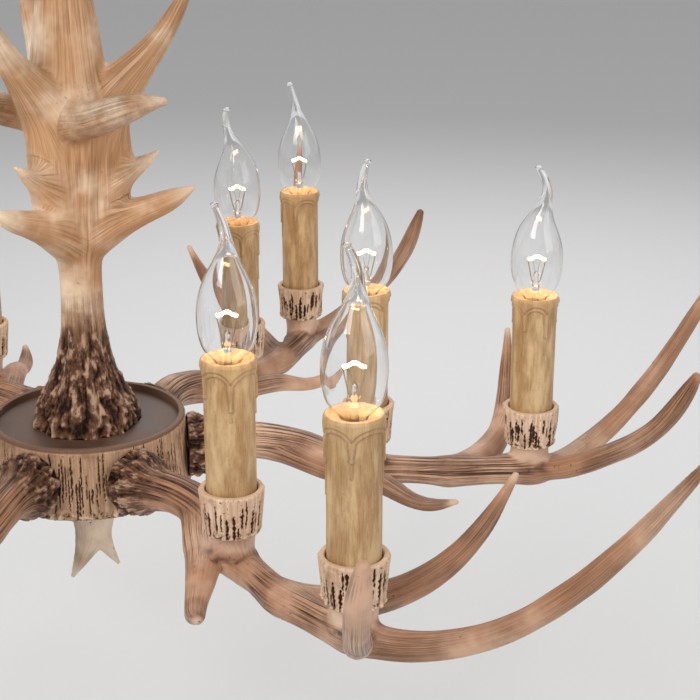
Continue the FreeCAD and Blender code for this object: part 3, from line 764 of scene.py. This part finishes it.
def glass_rows(inset, bend, low, high):
    """Centres and radii of the glass from one level to another, taken in by inset."""
    bow, lean, drop = bend
    table = np.array(GLASS, float)
    table[:, 1] -= drop * smoothstep(40.0, GLASS[-1][1], table[:, 1])
    levels = np.linspace(low, high - drop, 64)
    radius, bow_share, lean_share = spline(table[:, 1], table[:, (0, 2, 3)], levels).T
    return np.maximum(radius - inset, 0.5), levels, bow * bow_share + lean * lean_share


def tube(rows, sides, drift=0.0, flip=False):
    """Points and faces of an upright tube with filled ends, whose centres may drift sideways."""
    points = turned(rows, sides)
    points[:, 0] += np.repeat(drift + np.zeros(len(rows)), sides)
    faces = capped_faces(len(rows), sides)
    return points, flipped(faces) if flip else faces


def glass_mesh(bend):
    """The thin bent-tip envelope with its round tip, and the stem inside it."""
    sides = 56
    radius, levels, drift = glass_rows(0, bend, -CAP_DROP, GLASS[-1][1] - TIP_BEAD)
    tip = np.linspace(0.15, 1.0, 6)
    bead = radius[-1] * 1.12
    radius = np.concatenate((radius, bead * np.sqrt(np.maximum(1 - tip ** 2, 0.02))))
    levels = np.concatenate((levels, levels[-1] + tip * TIP_BEAD))
    drift = np.concatenate((drift, np.full(len(tip), drift[-1])))
    outer = tube([*zip(radius, levels)], sides, drift)
    radius, levels, drift = glass_rows(GLASS_WALL, bend, GLASS_WALL - CAP_DROP, GLASS_HOLLOW)
    radius = radius * smoothstep(GLASS_HOLLOW + 0.3, GLASS_HOLLOW - 19, levels)
    inner = tube([*zip(radius, levels)], sides, drift, flip=True)
    stem_rows = ((4.2, -13.0), (3.4, -9.0), (2.4, -4.0), (1.9, 1.0), (2.5, 4.0), (2.7, 6.5), (1.9, 9.0),
                 (1.4, 12.0), (1.7, 14.5), (1.1, 16.0))
    return new_mesh("bulb_envelope", *merged((outer, inner, tube(stem_rows, 24))))


def wire(axes, thick, sides=10):
    """Points and faces of a round wire along a path given as x, y and z."""
    path = np.stack(axes, 1)
    forward = np.gradient(path, axis=0)
    forward /= np.linalg.norm(forward, axis=1)[:, None]
    side = np.cross(forward, (0.123, 0.871, 0.475))
    side /= np.linalg.norm(side, axis=1)[:, None]
    ring = rings(side, np.cross(forward, side), sides)
    return (path[:, None] + thick * ring).reshape(-1, 3), capped_faces(len(path), sides)


def mount_mesh():
    """Screw cap, lead wires and coiled filament of one bulb, each with its own material."""
    low = -CAP_DROP - CAP_SHELL
    levels = np.linspace(-CAP_DROP, low, 60)
    thread = CAP_R - 0.45 + 0.4 * np.cos((levels + CAP_DROP) / THREAD_PITCH * math.tau)
    thread[:6] = CAP_R - 0.2
    nose = ((4.6, low - 1.5), (2.6, low - CAP_NOSE + 1), (2.2, low - CAP_NOSE + 0.1))
    cap = tube([*zip(thread, levels), *nose], 40, flip=True)
    share = np.linspace(0, 1, 12)
    legs = []
    for side in (-1, 1):
        bow = side * (1.0 + (FILAMENT_HALF - 1.0) * share ** 0.7)
        up = LEAD_FOOT + (FILAMENT_UP - LEAD_FOOT) * share
        legs.append(wire((bow, 0 * share, up), LEAD_R))
        hook = side * (0.6 + 2.2 * share)
        up = 15.0 + (FILAMENT_UP - 14.4) * share
        legs.append(wire((hook, 0.4 * share, up), SUPPORT_R, 6))
    turns = np.linspace(0, 1, 170)
    swing = turns * math.tau * FILAMENT_TURNS
    sag = 1.4 * np.sin(turns * math.pi) - 0.6 * np.sin(turns * 3 * math.pi)
    up = FILAMENT_UP + sag + COIL_R * np.sin(swing)
    coil = wire((FILAMENT_HALF * (2 * turns - 1), COIL_R * np.cos(swing), up), FILAMENT_R, 8)
    mesh = new_mesh("bulb_mount", *merged([cap, *legs, coil]))
    counts = len(cap[1]), sum(len(leg[1]) for leg in legs), len(coil[1])
    mesh.polygons.foreach_set("material_index", np.repeat(np.arange(3, dtype=np.int32), counts))
    return mesh


def eye_mesh():
    """The hanging eye: a round-edged ring on a turned neck."""
    sides, around = 96, 28
    turn = np.repeat(circle(sides), around)
    angle = np.tile(circle(around), sides)
    out, along = (np.sign(wave) * np.abs(wave) ** EYE_ROUNDNESS for wave in (np.cos(angle), np.sin(angle)))
    radius = EYE_BORE_R + EYE_WALL * (1 + out) / 2
    ring = np.stack((radius * np.cos(turn), along * EYE_HALF_WIDTH, radius * np.sin(turn)), 1)
    foot = -EYE_BORE_R - EYE_WALL - EYE_NECK
    rows = ((9.6, foot), (10.9, foot + 0.6), (11.0, foot + 2.0), (11.0, foot + 6.5), (10.2, foot + 7.6),
            (8.6, foot + 9.0), (7.2, foot + 11.5), (6.6, foot + 13.8))
    return new_mesh("eye_forged", *merged(((ring, grid_faces(sides, around, True)), tube(rows, 48))))


# Finishes

def srgb(red, green, blue):
    """A colour written as it looks on a screen, 0 to 255."""
    return tuple(((v / 255 + 0.055) / 1.055) ** 2.4 for v in (red, green, blue)) + (1.0,)


class Nodes:
    """A node tree and short ways to add nodes to it."""

    def __init__(self, owner):
        owner.use_nodes = True
        self.tree = owner.node_tree

    def feed(self, node, inputs):
        """Give a node's inputs their values or links."""
        for key, value in inputs.items():
            if isinstance(value, bpy.types.NodeSocket):
                self.tree.links.new(value, node.inputs[key])
            else:
                node.inputs[key].default_value = value
        return node

    def add(self, kind, inputs, **settings):
        node = self.tree.nodes.new(kind)
        for key, value in settings.items():
            setattr(node, key, value)
        return self.feed(node, inputs)

    def read(self, name, output="Fac"):
        return self.add("ShaderNodeAttribute", {}, attribute_name=name).outputs[output]

    def place(self):
        return self.add("ShaderNodeTexCoord", {}).outputs["Object"]

    def math(self, operation, a, b=0.0):
        return self.add("ShaderNodeMath", {0: a, 1: b}, operation=operation).outputs[0]

    def times(self, product, *others):
        for other in others:
            product = self.math("MULTIPLY", product, other)
        return product

    def noise(self, vector, scale, detail=2.0, rough=0.5):
        inputs = {"Vector": vector, "Scale": scale, "Detail": detail, "Roughness": rough}
        return self.add("ShaderNodeTexNoise", inputs).outputs["Fac"]

    def grain(self, flow, scales, detail=2.0, rough=0.5):
        """Noise stretched along a flow, by a scale for each axis."""
        stretched = self.add("ShaderNodeVectorMath", {0: flow, 1: scales}, operation="MULTIPLY")
        return self.noise(stretched.outputs[0], 1.0, detail, rough)

    def span(self, value, low, high, to_low=0.0, to_high=1.0):
        """A smooth step of the value from low to high, between two results."""
        inputs = {"Value": value, "From Min": low, "From Max": high, "To Min": to_low, "To Max": to_high}
        return self.add("ShaderNodeMapRange", inputs, interpolation_type="SMOOTHSTEP").outputs["Result"]

    def line(self, value, width):
        """1 where the noise crosses its middle, 0 away from there."""
        away = self.math("ABSOLUTE", self.math("SUBTRACT", value, 0.5))
        return self.span(away, width * 0.4, width, 1.0, 0.0)

    def mix(self, share, a, b):
        return self.add("ShaderNodeMix", {0: share, 6: a, 7: b}, data_type="RGBA").outputs[2]

    def tint(self, base, tone, value, low, high, most=1.0):
        """The base, turned to a tone by up to most as the value goes from low to high."""
        return self.mix(self.span(value, low, high, 0.0, most), base, srgb(*tone))

    def blend(self, share, a, b):
        return self.add("ShaderNodeMix", {0: share, 2: a, 3: b}, data_type="FLOAT").outputs[0]


class Finish(Nodes):
    """A material, set through the inputs of its shader."""

    def __init__(self, name, **constants):
        self.material = bpy.data.materials.new(name)
        super().__init__(self.material)
        self.set(**constants)

    def set(self, **inputs):
        """Give the shader's inputs their values or links, with _ for each space."""
        shader = self.tree.nodes["Principled BSDF"]
        self.feed(shader, {key.replace("_", " "): value for key, value in inputs.items()})

    def bump(self, height, distance, strength):
        inputs = {"Height": height, "Distance": distance, "Strength": strength}
        self.set(Normal=self.add("ShaderNodeBump", inputs).outputs[0])


def antler_finish(name, tones, lines, specks):
    """Cast antler: tones from dark to pale, lengthwise grooves, specks, dark crust and pale tips, with
    painted shade in the crust's crevices and under the cup bosses and a painted highlight on the crust's
    knobs.
    """
    groove, shade, body, light, pale = tones
    f = Finish(name, Specular_IOR_Level=0.28)
    tine = f.read("tine")
    place = f.place()
    found = []
    for key in ("flow_beam", "flow_tine"):
        flow = f.read(key, "Vector")
        found.append((
            f.line(f.grain(flow, (1.3, 1.3, 0.15), 1.0, 0.4), 0.042),
            f.line(f.grain(flow, (2.6, 2.6, 0.40)), 0.045),
            f.grain(flow, (4.5, 4.5, 0.9), 5.0, 0.7),
            f.grain(flow, (2.6, 2.6, 13.0), 5.0, 0.72),
        ))
    line, fine, streak, bead = (f.blend(tine, *pair) for pair in zip(*found))
    patch = f.span(f.noise(place, 24.0), 0.36, 0.58)
    base = f.tint(srgb(*shade), body, streak, 0.28, 0.72)
    base = f.tint(base, light, f.noise(place, 16.0, 4.0, 0.6), 0.40, 0.68)
    tip = f.read("tip")
    base = f.mix(f.times(tip, 0.5), base, srgb(*pale))
    weight = f.times(f.read("groove"), patch, f.math("SUBTRACT", 1.0, tip))
    dark = f.times(line, weight, lines)
    dark = f.math("MAXIMUM", dark, f.times(fine, weight, lines * 0.6))
    speck = f.span(f.noise(place, 480.0), 0.66, 0.74)
    speck_patch = f.span(f.noise(place, 34.0), 0.48, 0.66)
    dark = f.math("MAXIMUM", dark, f.times(speck, speck_patch, specks))
    blotch = f.span(f.noise(place, 150.0, 4.0, 0.65), 0.32, 0.62, 0.30, 0.85)
    # stain darkens the colour: painted shade under the arms' cup bosses, and a darker tone low on the column
    # and on its crossing horn
    base = f.mix(f.times(f.read("stain"), blotch), base, srgb(*groove))
    base = f.mix(dark, base, srgb(*groove))
    knob = f.math("ADD", f.times(f.read("knob"), 0.55), f.times(bead, 0.9))
    knob = f.math("SUBTRACT", f.math("ADD", knob, f.times(streak, 0.5)), 0.45)
    # Crust colour follows the knob height: near black in the crevices (painted shade over the crust's dark
    # colour) and pale on the knob tops (pale knobs with a painted highlight)
    crust_shaded_tone = f.tint(srgb(34, 15, 7), (106, 69, 48), knob, 0.32, 0.52)
    crust_shaded_tone = f.tint(crust_shaded_tone, (204, 168, 142), knob, 0.54, 0.80)
    crust = f.read("crust")
    f.set(Base_Color=f.mix(crust, base, crust_shaded_tone), Roughness=f.span(streak, 0.25, 0.8, 0.30, 0.46))
    height = f.math("SUBTRACT", f.times(streak, 0.30), dark)
    f.bump(f.math("ADD", height, f.times(bead, crust, 5.0)), 0.0010, 0.9)
    return f.material


def bark_finish(name, rim, tones):
    """Cream cast bark with dark cracks and a brown wash; the rim and the inside have their own tone."""
    f = Finish(name, Roughness=0.55, Specular_IOR_Level=0.35)
    flow = f.read("flow", "Vector")
    place = f.place()
    streak = f.grain(flow, (3.0, 3.0, 0.7), 4.0, 0.65)
    brown, dull, cream = tones
    base = f.tint(srgb(*dull), cream, streak, 0.3, 0.7)
    base = f.tint(base, brown, f.noise(place, 60.0, 4.0, 0.6), 0.48, 0.72, 0.85)
    base = f.tint(base, (96, 64, 44), f.noise(place, 620.0), 0.64, 0.72, 0.8)
    crack = f.read("crack")
    base = f.tint(base, (128, 90, 64), crack, 0.02, 0.35, 0.75)
    base = f.tint(base, (54, 29, 15), crack, 0.25, 0.70)
    rough = f.read("rough")
    # Painted shade in the hollows between the beads of the lower edge, and paler bead tops (pale knobs with
    # a painted highlight)
    base = f.tint(base, (78, 50, 32), rough, 0.46, 0.15, 0.9)
    base = f.tint(base, (226, 200, 174), rough, 0.56, 0.85, 0.8)
    f.set(Base_Color=f.mix(f.read("side"), rim, base))
    f.bump(f.math("SUBTRACT", streak, crack), 0.0007, 0.8)
    return f.material


def candle_finish():
    """Ochre wax look: fine upright grain, flecks, and a darker line of painted shade along the steps of the
    wax layers and runs.
    """
    f = Finish("candle_ochre", Roughness=0.48)
    flow = f.read("flow", "Vector")
    grain = f.grain(flow, (3.6, 3.6, 4.0), 6.0, 0.78)
    broad = f.grain(flow, (0.22, 0.22, 1.4), 4.0, 0.6)
    base = f.tint(srgb(142, 104, 62), (184, 148, 102), grain, 0.30, 0.70)
    base = f.tint(base, (208, 178, 134), broad, 0.38, 0.68, 0.85)
    base = f.tint(base, (104, 72, 42), f.noise(f.place(), 1100.0), 0.64, 0.74, 0.55)
    # Painted shade: darker along the steep steps of the wax layers and runs
    base = f.mix(f.times(f.read("edge"), 0.42), base, srgb(112, 76, 42))
    f.set(Base_Color=f.mix(f.times(f.read("wax"), 0.25), base, srgb(196, 160, 112)))
    f.bump(grain, 0.0004, 0.5)
    return f.material


def paint_finish():
    """Dark brown satin paint with a faint mottle."""
    f = Finish("brown_paint")
    fleck = f.noise(f.place(), 900.0)
    cloud = f.noise(f.place(), 45.0, 3.0, 0.5)
    base = f.tint(srgb(66, 44, 32), (86, 61, 46), cloud, 0.3, 0.7)
    base = f.tint(base, (112, 85, 68), fleck, 0.62, 0.78, 0.5)
    f.set(Base_Color=base, Roughness=f.span(cloud, 0.3, 0.7, 0.48, 0.58))
    f.bump(fleck, 0.0002, 0.35)
    return f.material


def grained(f, grain, colour, shade, rough_low, rough_high):
    """Set a finish that is darker by the shade and smoother where its grain is low."""
    dark = tuple(v * shade for v in colour[:3]) + (1.0,)
    rough = f.span(grain, 0.3, 0.7, rough_low, rough_high)
    f.set(Base_Color=f.mix(f.span(grain, 0.3, 0.7), dark, colour), Roughness=rough)
    return f.material


def metal_finish(name, colour, roughness):
    """Plated metal with fine turned marks."""
    f = Finish(name, Metallic=1.0)
    marks = f.grain(f.place(), (120.0, 120.0, 900.0))
    return grained(f, marks, colour, 0.8, roughness - 0.05, roughness + 0.08)


def moulded_finish(name, colour, roughness):
    """Plain moulded plastic or rubber with a slight grain."""
    f = Finish(name)
    grain = f.noise(f.place(), 700.0)
    return grained(f, grain, colour, 0.86, roughness - 0.05, roughness + 0.05)


def glass_finish():
    """Clear thin glass."""
    clear = (0.98, 0.98, 0.98, 1.0)
    return Finish("clear_glass", Roughness=0.0, IOR=1.45, Transmission_Weight=1.0, Base_Color=clear).material


def glow_finish():
    """The lit filament."""
    f = Finish("filament_glow", Roughness=0.6, Base_Color=(1.0, 0.72, 0.35, 1.0))
    f.set(Emission_Color=(1.0, 0.78, 0.42, 1.0), Emission_Strength=40.0)
    return f.material


# Tones of each kind of antler from dark to pale, then how strong its grooves and specks are
ARM_TONES = ((50, 22, 9), (134, 88, 60), (186, 142, 111), (210, 170, 142), (230, 202, 180))
COLUMN_TONES = ((84, 50, 27), (160, 114, 74), (200, 158, 120), (238, 214, 188), (240, 220, 198))
FINIAL_TONES = ((84, 54, 34), (160, 128, 100), (206, 178, 150), (226, 204, 180), (238, 222, 202))
ARM_LOOK = antler_finish("antler_arm", ARM_TONES, 0.95, 0.8)
COLUMN_LOOK = antler_finish("antler_column", COLUMN_TONES, 0.6, 0.4)
FINIAL_LOOK = antler_finish("antler_finial", FINIAL_TONES, 0.6, 1.0)
CUP_LOOK = bark_finish("bark_cup", srgb(204, 172, 142), ((150, 112, 82), (188, 152, 122), (228, 200, 174)))
DRUM_LOOK = bark_finish("bark_drum", srgb(106, 78, 60), ((124, 90, 64), (154, 119, 92), (192, 158, 128)))
CANDLE_LOOK = candle_finish()
PAINT_LOOK = paint_finish()
ZINC_LOOK = metal_finish("zinc_steel", srgb(196, 196, 192), 0.34)
CAP_LOOK = metal_finish("lamp_cap", srgb(206, 196, 170), 0.28)
WIRE_LOOK = metal_finish("lead_wire", srgb(170, 150, 120), 0.35)
PLASTIC_LOOK = moulded_finish("white_plastic", srgb(224, 220, 210), 0.45)
LEAD_LOOK = moulded_finish("lead_sheath", srgb(92, 80, 70), 0.60)
GLASS_LOOK = glass_finish()
GLOW_LOOK = glow_finish()


# The pieces

def build_antlers():
    arm = arm_skin()
    for k in range(ARM_COUNT):
        number = str(k + 1)
        mesh = arm.mesh("arm_skin_" + number, arm_place(k), 13.0 * k)
        piece("antler_arm_" + number, mesh, (ARM_LOOK,), ["arm_antler_" + number])
    column = column_skin().mesh("column_skin", np.asarray, 90.0)
    piece("antler_column", column, (COLUMN_LOOK,), ["column_antler"])
    finial = finial_skin().mesh("finial_skin", np.asarray, 110.0)
    piece("antler_finial", finial, (FINIAL_LOOK,), ["finial_antler"])


def build_hub():
    piece("bark_drum", drum_mesh(), (DRUM_LOOK,), ["hub_drum"], (0, 0, RIM_Z * MM))
    piece("ring_eye", eye_mesh(), (PAINT_LOOK,), ["hanging_eye"])
    kept = (
        (PAINT_LOOK, ("hub_top_plate", "hub_bottom_plate")),
        (ZINC_LOOK, ("column_rod", "rod_nut", "arm_bolts", "threaded_nipples", "nipple_lock_nuts")),
        (PLASTIC_LOOK, ("terminal_block", "lamp_holders")),
        (LEAD_LOOK, ("arm_leads",)),
    )
    for look, names in kept:
        for name in names:
            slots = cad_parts[name].data.materials
            slots.clear()
            slots.append(look)


def build_lamps():
    cups = (
        ("inner", cup_mesh(seed=31, cracks=(38, (5.0, 19.0), (0.4, 1.05)), flutes=0.45, beads=0.8)),
        ("outer", cup_mesh(seed=38, cracks=(44, (8.0, 22.0), (0.5, 1.2)), flutes=1.0, beads=2.6)),
    )
    sleeves = [sleeve_mesh(5 + i) for i in range(4)]
    glasses = [glass_mesh(bend) for bend in BULB_BENDS]
    mount = mount_mesh()
    for i, number in enumerate(LAMPS):
        low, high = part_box("candle_sleeve_" + number)
        x, y = (low.x + high.x) / 2, (low.y + high.y) / 2
        top = (x, y, high.z)
        rim = (x, y, high.z - SLEEVE_SHOWS * MM)
        kind, cup = cups[i % len(cups)]
        half = math.pi * (i // len(BULB_BENDS))
        body = "bulb_" + number
        piece("cup_" + number, cup, (CUP_LOOK,), [kind + "_candle_cups"], rim, 1.1 * i)
        piece("sleeve_" + number, sleeves[i % len(sleeves)], (CANDLE_LOOK,), ["candle_sleeve_" + number],
              top, 0.9 * i)
        glass = piece("envelope_" + number, glasses[i % len(glasses)], (GLASS_LOOK,),
                      ["bulb_glass_" + number], top, half, body)
        glass.visible_shadow = False
        piece("mount_" + number, mount, (CAP_LOOK, WIRE_LOOK, GLOW_LOOK), ["bulb_base_" + number],
              top, half, body)
        glow = bpy.data.lights.new("glow_" + number, "POINT")
        glow.energy = GLOW_POWER
        glow.color = GLOW_COLOUR
        glow.shadow_soft_size = FILAMENT_HALF * MM * 2 / 3
        lamp = new_object("glow_" + number, glow)
        lamp.location = (x, y, high.z + FILAMENT_UP * MM)
        lamp.visible_transmission = False
        lamp.visible_glossy = False


# Floor, light and camera

# Floor: metres below the part and out to its sides
FLOOR_DROP = 0.30
FLOOR_REACH = 30.0
FLOOR_COLOUR = (0.80, 0.80, 0.80, 1.0)
WORLD_LIGHT = 0.38
WORLD_SEEN = 0.66
# Light panels: place in metres, size, watts
PANELS = {
    "key": ((-0.9, -1.7, 1.3), 1.1, 40.0),
    "fill": ((1.9, -1.2, 0.6), 1.5, 20.0),
    "back": ((0.4, 1.9, 1.1), 1.4, 18.0),
}


def studio_world():
    """White surroundings: soft light on the object, and paler where they are seen, also in glass."""
    world = bpy.data.worlds.new("studio")
    n = Nodes(world)
    ray = n.add("ShaderNodeLightPath", {}).outputs
    seen = ray["Is Camera Ray"]
    for key in ("Is Glossy Ray", "Is Transmission Ray"):
        seen = n.math("MAXIMUM", seen, ray[key])
    level = n.span(seen, 0.0, 1.0, WORLD_LIGHT, WORLD_SEEN)
    n.feed(n.tree.nodes["Background"], {"Color": (1.0, 1.0, 1.0, 1.0), "Strength": level})
    return world


def build_floor():
    level = CAD_BOX[0].z - FLOOR_DROP
    corners = [(x * FLOOR_REACH, y * FLOOR_REACH, level) for x, y in ((-1, -1), (1, -1), (1, 1), (-1, 1))]
    mesh = bpy.data.meshes.new("floor")
    mesh.from_pydata(corners, [], [(0, 1, 2, 3)])
    mesh.materials.append(Finish("floor_pale", Roughness=0.9, Base_Color=FLOOR_COLOUR).material)
    floor = new_object("floor", mesh)


def build_lights():
    bpy.context.scene.world = studio_world()
    for name, (at, size, power) in PANELS.items():
        light = bpy.data.lights.new(name, "AREA")
        light.size = size
        light.energy = power
        lamp = new_object(name, light)
        lamp.location = at
        aim = (CAD_BOX[0] + CAD_BOX[1]) / 2 - lamp.location
        lamp.rotation_euler = aim.to_track_quat("-Z", "Y").to_euler()
        lamp.visible_transmission = False


def build_camera():
    camera = bpy.data.cameras.new("photo_view")
    camera.lens = CAMERA_LENS
    camera.sensor_width = SENSOR
    camera.clip_start = 0.01
    view = new_object("photo_view", camera)
    view.location = CAMERA_AT
    view.rotation_euler = (math.radians(CAMERA_PITCH_DEG), 0, 0)
    bpy.context.scene.camera = view


build_antlers()
build_hub()
build_lamps()
build_floor()
build_lights()
build_camera()
bpy.context.scene.view_settings.view_transform = "Standard"
